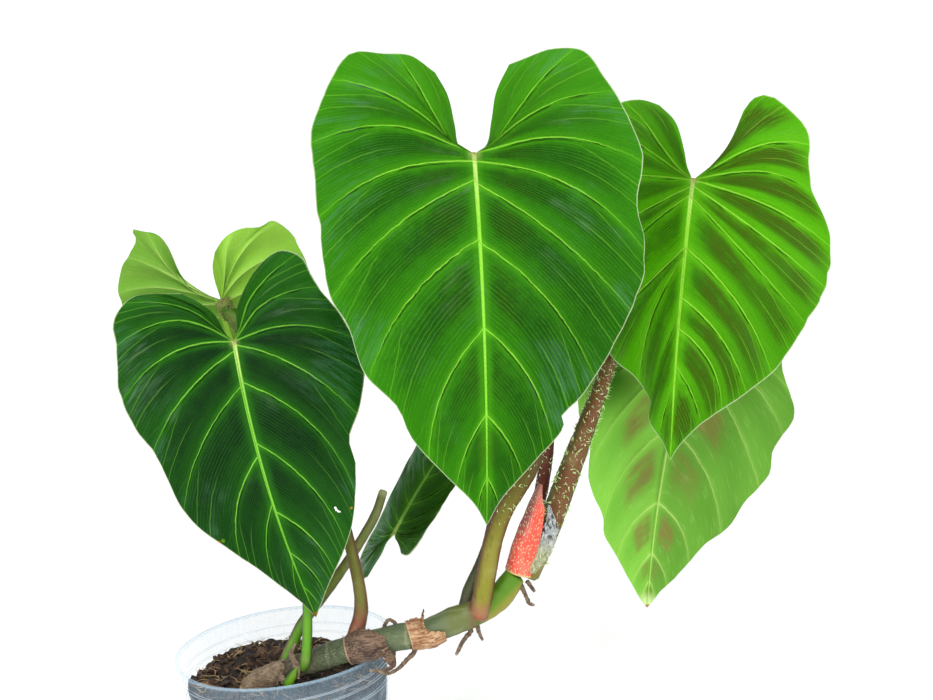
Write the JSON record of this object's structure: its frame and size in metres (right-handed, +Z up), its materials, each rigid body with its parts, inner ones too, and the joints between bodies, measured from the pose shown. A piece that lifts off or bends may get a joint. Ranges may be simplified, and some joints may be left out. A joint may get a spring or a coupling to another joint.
{
  "type": "potted velvet-leaf philodendron",
  "caption": "Creeping aroid with heart-shaped, strongly veined leaves on long stalks, whose stem climbs over the rim of a clear plastic pot.",
  "frame": {"origin": "centre of the pot's underside, which rests on the floor", "axes": "+Z up along the pot's axis, -Y towards the side that the big leaf faces, +X to the right as seen from there, the way the stem leaves the pot"},
  "size_m": [0.3683, 0.145, 0.4172],
  "materials": {
    "stem": "satin",
    "leaf_big": "velvety",
    "leaf_front": "velvety",
    "leaf_right": "velvety",
    "leaf_low": "velvety",
    "leaf_rear": "velvety",
    "leaf_small": "velvety",
    "petiole_big": "satin",
    "petiole_front": "satin",
    "petiole_right": "satin",
    "petiole_low": "satin",
    "petiole_rear": "satin",
    "petiole_small": "satin",
    "petiole_cut": "satin",
    "shoot_bud": "satin",
    "root_loop": "rough",
    "root_rim_a": "rough",
    "root_rim_b": "rough",
    "root_mid_a": "rough",
    "root_mid_b": "rough",
    "root_tip_a": "rough",
    "root_tip_b": "rough",
    "sheath_red": "papery",
    "sheath_clear": "papery",
    "sheath_brown": "papery",
    "sheath_ring": "papery",
    "sheath_strip_a": "papery",
    "sheath_strip_b": "papery",
    "pot": "frosted clear",
    "potting_mix": "rough"
  },
  "bodies": {
    "root": {"stem": "stem", "leaf_big": "leaf_big", "leaf_front": "leaf_front", "leaf_right": "leaf_right", "leaf_low": "leaf_low", "leaf_rear": "leaf_rear", "leaf_small": "leaf_small", "petiole_big": "petiole_big", "petiole_front": "petiole_front", "petiole_right": "petiole_right", "petiole_low": "petiole_low", "petiole_rear": "petiole_rear", "petiole_small": "petiole_small", "petiole_cut": "petiole_cut", "shoot_bud": "shoot_bud", "root_loop": "root_loop", "root_rim_a": "root_rim_a", "root_rim_b": "root_rim_b", "root_mid_a": "root_mid_a", "root_mid_b": "root_mid_b", "root_tip_a": "root_tip_a", "root_tip_b": "root_tip_b", "sheath_red": "sheath_red", "sheath_clear": "sheath_clear", "sheath_brown": "sheath_brown", "sheath_ring": "sheath_ring", "sheath_strip_a": "sheath_strip_a", "sheath_strip_b": "sheath_strip_b", "pot": "pot", "potting_mix": "potting_mix"}
  },
  "joints": []
}
